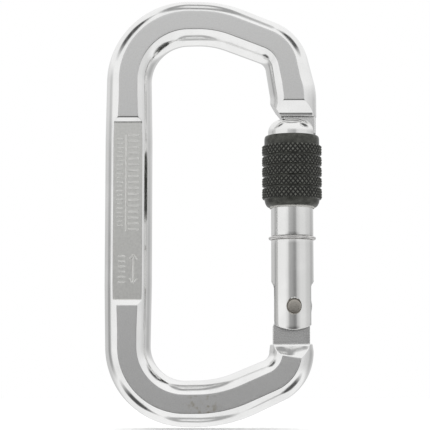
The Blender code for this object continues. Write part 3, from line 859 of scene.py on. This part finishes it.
def pin(name, radius, half, dome, chamfer, place, material):
    """A pin along Y with slightly domed and chamfered ends."""
    side = [(radius, half - dome - chamfer), (radius - chamfer, half - dome)]
    crown = [(radius * share, half - dome * share ** 2) for share in (0.75, 0.5, 0.25, 0.0)]
    top = side + crown
    profile = [(r, -h) for r, h in reversed(top)] + top
    return lathe(name, dense(profile, 0.5 * MM), (place[0], 0.0, place[1]), 64, [material], axis="Y")


def make_rivet():
    rivet = pin("rivet", RIVET_RADIUS, RIVET_HALF, RIVET_DOME, RIVET_CHAMFER, (HINGE_X, HINGE_Z), RIVET)
    smooth(rivet)
    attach(rivet, "frame")
    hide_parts("hinge_rivet")


def make_latch_pin():
    """The latch pin, ground flush with the barrel's domed top."""
    latch = pin("gate_latch_pin", PIN_RADIUS, PIN_REACH, PIN_DOME, PIN_CHAMFER, (PIN_X, PIN_Z), TURNED)
    flush = lathe("flush", dome_profile(SEAM / 2.0), (GATE_X, 0.0, 0.0), GATE_SEGMENTS, [TURNED])
    boolean(latch, [flush], "INTERSECT")
    smooth(latch)
    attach(latch, "gate")
    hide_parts("latch_pin")


def gate_rows():
    """The barrel's profile from its domed top to its fork, with small roundings, as dense rows."""
    dome_x = THREAD_RADIUS - DOME_RADIUS
    dome = arc(dome_x, GATE_TOP_Z - DOME_RADIUS, DOME_RADIUS, 90.0, 0.0, 16)
    corners = [
        (0.0, GATE_TOP_Z, 0.0),
        *[(x, z, 0.0) for x, z in dome],
        (THREAD_RADIUS, THREAD_END_Z, 0.1 * MM),
        (BARREL_RADIUS, THREAD_END_Z - 0.5 * MM, 0.1 * MM),
        (BARREL_RADIUS, GROOVE_Z + GROOVE_HALF, 0.08 * MM),
        (GROOVE_RADIUS, GROOVE_Z + GROOVE_HALF, 0.08 * MM),
        (GROOVE_RADIUS, GROOVE_Z - GROOVE_HALF, 0.08 * MM),
        (BARREL_RADIUS, GROOVE_Z - GROOVE_HALF, 0.08 * MM),
        (BARREL_RADIUS, FORK_END_Z, 0.25 * MM),
        (0.0, FORK_END_Z, 0.0),
    ]
    path = rounded(corners)
    rows = []
    for first, second in zip(path, path[1:]):
        threaded = second[1] > THREAD_END_Z - MM and first[1] < THREAD_START_Z + 2.0 * MM
        rows += dense([first, second], THREAD_STEP if threaded else BARREL_STEP)[:-1]
    return rows + [path[-1]]


def gate_shape(radius, angle, height):
    """Cuts the running thread into the barrel's top, and rounds the fork's end about the Y axis."""
    turns = height / THREAD_PITCH + angle / (2.0 * math.pi)
    wave = np.abs((turns % 1.0) * 2.0 - 1.0)
    root, top = THREAD_FLANK
    crest = np.clip((wave - root) / (top - root), 0.0, 1.0)
    start = np.clip((THREAD_START_Z - height) / THREAD_RUN_OUT, 0.0, 1.0)
    stop = np.clip((height - THREAD_END_Z - THREAD_RUN_OUT) / THREAD_RUN_OUT, 0.0, 1.0)
    depth = (THREAD_RADIUS - THREAD_ROOT) * (1.0 - crest) * start * stop
    on_side = radius > THREAD_RADIUS - 0.01 * MM
    radius = np.where(on_side, radius - depth, radius)
    x = radius * np.cos(angle)
    lift = FORK_END_ARC - np.sqrt(FORK_END_ARC ** 2 - x ** 2)
    share = np.clip((FORK_END_Z + FORK_END_HEIGHT - height) / FORK_END_HEIGHT, 0.0, 1.0)
    return radius, height + lift * share


def make_gate():
    """The gate: a turned barrel, slotted for the nose, forked for the hinge and bored for the spring."""
    gate = lathe("gate_body", gate_rows(), (GATE_X, 0.0, 0.0), GATE_SEGMENTS, [TURNED], gate_shape)
    slot_half = TONGUE_HALF + GAP
    top = GATE_TOP_Z + MM
    nose_slot = box("nose_slot", (NOSE_SLOT_WALL_X, -slot_half, NOSE_SLOT_FLOOR_Z),
                    (GATE_X + REACH, slot_half, top))
    fork_slot = box("fork_slot", (GATE_X - REACH, -slot_half, FORK_END_Z - MM),
                    (GATE_X + REACH, slot_half, FORK_ROOF_Z))
    foot = FORK_ROOF_Z - MM
    wall = [(0.0, BORE_END_Z), (BORE_RADIUS, BORE_END_Z), (BORE_RADIUS, foot), (0.0, foot)]
    bore = lathe("bore", wall, (PLUNGER_X, 0.0, 0.0), 64)
    pin_hole = hole("pin_hole", PIN_RADIUS + SEAM, 0.0, REACH - MM, PIN_X, PIN_Z)
    rivet_hole = hole("rivet_hole", RIVET_RADIUS + SEAM, RIVET_FLARE, RIVET_SURFACE, HINGE_X, HINGE_Z)
    boolean(gate, [nose_slot, fork_slot, bore, pin_hole, rivet_hole, side_flat(-1.0), side_flat(1.0)])
    smooth(gate)
    weigh_normals(gate)
    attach(gate, "gate")
    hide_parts("gate_barrel")


def side_flat(side):
    """A cutter for one side of the fork, with a ramp at its top."""
    ramp_top, ramp_foot = SIDE_RAMP_Z
    slope = (ramp_top - ramp_foot) / (BARREL_RADIUS - SIDE_FLAT_HALF)
    far_z = ramp_foot + slope * (REACH - SIDE_FLAT_HALF)
    below = FORK_END_Z - MM
    half = [(SIDE_FLAT_HALF, ramp_foot), (REACH, far_z), (REACH, below), (SIDE_FLAT_HALF, below)]
    return prism("side_flat", [(GATE_X + side * across, z) for across, z in half], -REACH, REACH)


def hole(name, radius, flare, surface, x, z):
    """A cutter for a hole along Y, wider by flare at the surface on both sides."""
    wide = radius + 2.0 * flare
    half = [(radius, surface - flare), (wide, surface + flare), (wide, REACH)]
    profile = [(0.0, -REACH), *[(r, -y) for r, y in reversed(half)], *half, (0.0, REACH)]
    return lathe(name, profile, (x, 0.0, z), 64, axis="Y")


def make_spring():
    """The compression spring, with its last turn closed at each end."""
    low = PLUNGER_SHOULDER_Z + GAP / 2.0 + SPRING_WIRE
    high = BORE_END_Z - GAP / 2.0 - SPRING_WIRE
    count = SPRING_TURNS * SPRING_POINTS_PER_TURN
    ends = (0.0, SPRING_CLOSED_SHARE, 1.0 - SPRING_CLOSED_SHARE, 1.0)
    rises = (0.0, SPRING_CLOSED_RISE, 1.0 - SPRING_CLOSED_RISE, 1.0)
    points = []
    for number in range(count + 1):
        rise = np.interp(number / count, ends, rises)
        angle = 2.0 * math.pi * number / SPRING_POINTS_PER_TURN
        points.append((PLUNGER_X + SPRING_RADIUS * math.cos(angle), SPRING_RADIUS * math.sin(angle),
                       low + (high - low) * rise))
    spring = sweep("return_spring", points, SPRING_WIRE, 12, [SPRING])
    smooth(spring)
    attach(spring, "gate")
    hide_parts("gate_spring")
    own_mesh(spring)


def make_plunger():
    """The plunger: a chamfered foot on the cam, and a stem inside the spring."""
    corners = [
        (0.0, STEM_TOP_Z, 0.0),
        (STEM_RADIUS, STEM_TOP_Z, 0.2 * MM),
        (STEM_RADIUS, PLUNGER_SHOULDER_Z, 0.08 * MM),
        (PLUNGER_RADIUS, PLUNGER_SHOULDER_Z, 0.1 * MM),
        (PLUNGER_RADIUS, PLUNGER_FOOT_Z + PLUNGER_CHAMFER, 0.25 * MM),
        (PLUNGER_RADIUS - PLUNGER_CHAMFER, PLUNGER_FOOT_Z, 0.25 * MM),
        (0.0, PLUNGER_FOOT_Z, 0.0),
    ]
    plunger = lathe("plunger", dense(rounded(corners), 0.6 * MM), (PLUNGER_X, 0.0, 0.0), 64, [RIVET])
    smooth(plunger)
    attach(plunger, "plunger")
    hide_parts("spring_plunger")


def sleeve_path():
    """The sleeve's closed profile: the collar's rounded rim, the grip with its ring cuts, foot and bore."""
    corners = [(SLEEVE_BORE + 0.08 * MM, SLEEVE_TOP_Z, 0.0)]
    for angle in np.radians((0.0, 18.0, 36.0, 54.0, 72.0, 90.0)):
        across = COLLAR_RADIUS - RIM_INSET * (1.0 - math.sin(angle))
        corners.append((across, SLEEVE_TOP_Z - RIM_DROP * (1.0 - math.cos(angle)), 0.0))
    corners += [
        (COLLAR_RADIUS, GRIP_TOP_Z + GRIP_SLOPE, GRIP_FOOT_EDGE),
        (GRIP_RADIUS, GRIP_TOP_Z, GRIP_EDGE),
    ]
    for number in range(RING_CUTS):
        middle = RING_CUT_TOP_Z - number * RING_CUT_PITCH
        corners += [
            (GRIP_RADIUS, middle + RING_CUT_HALF + GRIP_SLOPE, GRIP_EDGE),
            (COLLAR_RADIUS, middle + RING_CUT_HALF, GRIP_FOOT_EDGE),
            (COLLAR_RADIUS, middle - RING_CUT_HALF, GRIP_FOOT_EDGE),
            (GRIP_RADIUS, middle - RING_CUT_HALF - GRIP_SLOPE, GRIP_EDGE),
        ]
    corners += [
        (GRIP_RADIUS, GRIP_BOTTOM_Z, GRIP_EDGE),
        (COLLAR_RADIUS, GRIP_BOTTOM_Z - GRIP_SLOPE, GRIP_FOOT_EDGE),
        *[(radius, z, 0.2 * MM) for radius, z in FOOT_ROUNDING],
        (FOOT_RADIUS, SLEEVE_BOTTOM_Z, 0.15 * MM),
        (LIP_RADIUS, SLEEVE_BOTTOM_Z, 0.0),
        (LIP_RADIUS, LIP_TOP_Z, 0.0),
        (SLEEVE_BORE, LIP_TOP_Z, 0.0),
        (SLEEVE_BORE, SLEEVE_TOP_Z - 0.1 * MM, 0.0),
    ]
    return rounded(corners)


def knurl(radius, angle, height):
    """Two shares: how deep a place is in a cut, from 0 on a diamond's top, and how far it is on a band."""
    around = angle * KNURL_COUNT / (2.0 * math.pi)
    along = height / KNURL_PITCH
    cuts = [np.abs(((around + sign * along) % 1.0) - 0.5) for sign in (-1.0, 1.0)]
    nearest = 0.5 - np.maximum(*cuts)
    on_band = np.clip((radius - GRIP_RADIUS + KNURL_FADE_DEPTH) / KNURL_FADE, 0.0, 1.0)
    return 1.0 - np.clip(nearest / KNURL_WIDTH, 0.0, 1.0), on_band


def knurled(radius, angle, height):
    cut, on_band = knurl(radius, angle, height)
    return radius - KNURL_DEPTH * cut * on_band, height


def make_sleeve():
    """The knurled sleeve, with an attribute that is high on the knurl's points and low in its cuts: it
    marks rubbed anodising and also places a painted highlight and painted shade.
    """
    path = sleeve_path()
    rows = []
    for first, second in zip(path, path[1:] + path[:1]):
        inmost, lowest = np.minimum(first, second)
        outside = inmost > COLLAR_RADIUS - 0.5 * MM and lowest > LIP_TOP_Z
        rows += dense([first, second], SLEEVE_STEP if outside else MM)[:-1]
    place = (GATE_X, 0.0, 0.0)
    sleeve = lathe("screw_sleeve", rows, place, SLEEVE_SEGMENTS, [BLACK], knurled, ring=True)
    cut, on_band = knurl(*turned_grid(np.array(rows), SLEEVE_SEGMENTS))
    wear_and_knurl_shade = sleeve.data.attributes.new("wear_and_knurl_shade", "FLOAT", "POINT")
    # The mask: 1 on the knurl's points, 0 in its cuts, a middle level off the bands. It paints the points
    # lighter and the cuts darker, partly wear and partly painted highlight and shade.
    values = (1.0 - cut) * on_band + PLAIN_WEAR_AND_SHADE * (1.0 - on_band)
    wear_and_knurl_shade.data.foreach_set("value", values.astype(np.float32).ravel())
    smooth(sleeve, math.radians(50.0))
    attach(sleeve, "sleeve")
    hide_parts("locking_sleeve")


def make_friction_ring():
    corners = [
        (RING_FLANGE, RING_TOP_Z, 0.06 * MM),
        (RING_FLANGE, RING_FLANGE_Z, 0.06 * MM),
        (RING_RADIUS, RING_FLANGE_Z, 0.04 * MM),
        (RING_RADIUS, RING_BOTTOM_Z, 0.09 * MM),
        (RING_BORE, RING_BOTTOM_Z, 0.05 * MM),
        (RING_BORE, RING_TOP_Z, 0.05 * MM),
    ]
    ring = lathe("friction_ring", rounded(corners), (GATE_X, 0.0, 0.0), 128, [ACETAL], ring=True)
    smooth(ring)
    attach(ring, "friction_ring")
    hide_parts("sleeve_friction_ring")


def make_stop_ring():
    """The split wire ring in the barrel's groove."""
    start = math.pi / 2.0 + STOP_RING_SPLIT / 2.0
    span = 2.0 * math.pi - STOP_RING_SPLIT
    angles = start + span * np.linspace(0.0, 1.0, 121)
    points = np.stack((GATE_X + STOP_RING_RADIUS * np.cos(angles), STOP_RING_RADIUS * np.sin(angles),
                       np.full(len(angles), GROOVE_Z)), axis=1)
    ring = sweep("stop_ring", points, STOP_RING_WIRE, 16, [WIRE])
    smooth(ring)
    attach(ring, "gate")
    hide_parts("sleeve_stop_ring")


# Studio.


def make_floor():
    """A pale round floor, just under the object."""
    outline = arc(0.0, 0.0, FLOOR_RADIUS, 0.0, 360.0, FLOOR_SIDES)[:-1]
    material, tree, principled = new_shader("pale_floor")
    clouds = noise(tree, 8.0, 3.0)
    plug(tree, principled.inputs["Base Color"],
         mix(tree, clouds, (0.86, 0.86, 0.86, 1.0), (0.90, 0.90, 0.90, 1.0)))
    principled.inputs["Roughness"].default_value = 0.9
    principled.inputs["Specular IOR Level"].default_value = 0.0
    floor = prism("floor", outline, FLOOR_Z - FLOOR_THICKNESS, FLOOR_Z, plane="XY", materials=[material])
    floor.visible_glossy = False


def ramp(tree, value, stops):
    """A grey ramp over a value from 0 to 1, straight between its (place, level) stops."""
    made = node(tree, "ValToRGB", Fac=value)
    elements = made.color_ramp.elements
    for element, (place, level) in zip(elements, (stops[0], stops[-1])):
        element.position = place
        element.color = (level, level, level, 1.0)
    for place, level in stops[1:-1]:
        elements.new(place).color = (level, level, level, 1.0)
    return made.outputs[0]


# The studio that the metal reflects. Levels are from 0 to 1, and angles in degrees. WALLS is the brightness
# round the horizon, by the bearing from the front, positive towards the gate. SKY is the brightness away
# from the horizon, by the elevation, and WALL_SHARE is how much of the walls shows against the sky there.
WALLS = [
    (-180.0, 0.60), (-118.0, 0.60), (-110.0, 0.34), (-98.0, 0.34), (-88.0, 0.94), (-27.0, 0.97),
    (-18.0, 0.52), (0.0, 0.40), (8.0, 0.29), (17.0, 0.34), (23.0, 0.72), (36.0, 0.78), (68.0, 0.78),
    (82.0, 0.66), (104.0, 0.60), (118.0, 0.44), (132.0, 0.46), (148.0, 0.62), (180.0, 0.60),
]
SKY = [
    (-90.0, 0.86), (-86.0, 0.86), (-82.0, 0.42), (-76.0, 0.42), (-71.0, 0.93), (-24.0, 0.93),
    (-10.0, 0.6), (6.0, 0.8), (20.0, 0.93), (68.0, 0.96), (73.0, 0.36), (80.0, 0.36), (85.0, 0.90),
    (90.0, 0.90),
]
WALL_SHARE = [
    (-90.0, 0.0), (-26.0, 0.0), (-12.0, 0.85), (-2.0, 1.0), (4.0, 0.92), (12.0, 0.5), (22.0, 0.0),
    (90.0, 0.0),
]
# A dark board low in front: how dark it is by the elevation, and where it fades, in the direction's Y.
FRONT_BOARD = [
    (-90.0, 0.0), (-40.0, 0.0), (-30.0, 0.82), (-8.0, 0.82), (0.0, 0.32), (9.0, 0.0), (90.0, 0.0),
]
BOARD_EDGE_Y = (-0.95, -0.7)
# A dark upright gap on each side of the object, about GAP_Y in the direction's Y. Its half width, of which
# GAP_CORE is fully dark, and its strength go by the direction's height from 0 to 1, up or down.
GAP_DARK = 0.9
GAP_Y = -0.03
GAP_CORE = 0.45
GAP_HALF = [
    (0.0, 0.05), (0.36, 0.10), (0.60, 0.30), (0.76, 0.30), (0.88, 0.12), (0.94, 0.03), (1.0, 0.03),
]
GAP_SHARE = [(0.0, 0.0), (0.42, 0.0), (0.64, 1.0), (0.84, 1.0), (0.95, 0.0), (1.0, 0.0)]


def by_angle(tree, value, span, stops):
    """A ramp over an angle whose value runs from 0 to 1 over span degrees, and is 0.5 at 0 degrees."""
    return ramp(tree, value, [(degrees / span + 0.5, level) for degrees, level in stops])


def make_world():
    """White to the camera. To everything else, a studio with walls, a bright sky and a few dark places."""
    world = bpy.data.worlds.new("studio")
    world.use_nodes = True
    tree = world.node_tree
    tree.nodes.clear()
    way = node(tree, "SeparateXYZ", Vector=node(tree, "TexCoord").outputs["Generated"])
    bearing = maths(tree, "ARCTAN2", way.outputs[0], maths(tree, "MULTIPLY", way.outputs[1], -1.0))
    turned = maths(tree, "MULTIPLY_ADD", bearing, 0.5 / math.pi, 0.5)
    rise = maths(tree, "MULTIPLY_ADD", maths(tree, "ARCSINE", way.outputs[2]), 1.0 / math.pi, 0.5)
    walls = by_angle(tree, turned, 360.0, WALLS)
    sky = by_angle(tree, rise, 180.0, SKY)
    share = by_angle(tree, rise, 180.0, WALL_SHARE)
    board = by_angle(tree, rise, 180.0, FRONT_BOARD)
    board = maths(tree, "MULTIPLY", board, spread(tree, way.outputs[1], *BOARD_EDGE_Y, 1.0, 0.0))
    aside = maths(tree, "ABSOLUTE", maths(tree, "SUBTRACT", way.outputs[1], GAP_Y))
    upright = maths(tree, "ABSOLUTE", way.outputs[2])
    half = ramp(tree, upright, GAP_HALF)
    gap = spread(tree, aside, maths(tree, "MULTIPLY", half, GAP_CORE), half, GAP_DARK, 0.0)
    gap = maths(tree, "MULTIPLY", gap, ramp(tree, upright, GAP_SHARE))
    no_board = maths(tree, "SUBTRACT", 1.0, board)
    shade = maths(tree, "MULTIPLY", no_board, maths(tree, "SUBTRACT", 1.0, gap))
    seen = node(tree, "Background", Color=(1.0, 1.0, 1.0, 1.0), Strength=1.0)
    lit = node(tree, "Background", Color=mix(tree, share, sky, walls), Strength=shade)
    choice = node(tree, "MixShader", Fac=node(tree, "LightPath").outputs["Is Camera Ray"])
    tree.links.new(lit.outputs[0], choice.inputs[1])
    tree.links.new(seen.outputs[0], choice.inputs[2])
    tree.links.new(choice.outputs[0], node(tree, "OutputWorld").inputs[0])
    bpy.context.scene.world = world


def make_lights():
    """One large soft light overhead. As with the floor, no reflection shows it: they show the world."""
    light = bpy.data.lights.new("softbox", "AREA")
    light.shape = "SQUARE"
    light.size = LIGHT_SIZE
    light.energy = LIGHT_POWER
    lamp = bpy.data.objects.new("softbox", light)
    lamp.location = (0.0, 0.0, LIGHT_HEIGHT)
    lamp.visible_glossy = False
    bpy.context.scene.collection.objects.link(lamp)


def make_camera():
    """The camera: CAMERA_AZIMUTH is in degrees from the front, and CAMERA_ELEVATION from level."""
    camera = bpy.data.cameras.new("camera")
    camera.lens = CAMERA_LENS
    camera.sensor_width = CAMERA_SENSOR
    holder = bpy.data.objects.new("camera", camera)
    azimuth, elevation = math.radians(CAMERA_AZIMUTH), math.radians(CAMERA_ELEVATION)
    level = math.cos(elevation)
    back = Vector((math.sin(azimuth) * level, -math.cos(azimuth) * level, math.sin(elevation)))
    holder.location = Vector(CAMERA_TARGET) + back * CAMERA_DISTANCE
    holder.rotation_mode = "QUATERNION"
    holder.rotation_quaternion = (-back).to_track_quat("-Z", "Y")
    bpy.context.scene.collection.objects.link(holder)
    bpy.context.scene.camera = holder


make_camera()
make_world()
make_lights()
make_floor()
make_bar()
make_marks()
make_rivet()
make_latch_pin()
make_gate()
make_spring()
make_plunger()
make_sleeve()
make_friction_ring()
make_stop_ring()
bpy.context.scene.view_settings.view_transform = "Standard"
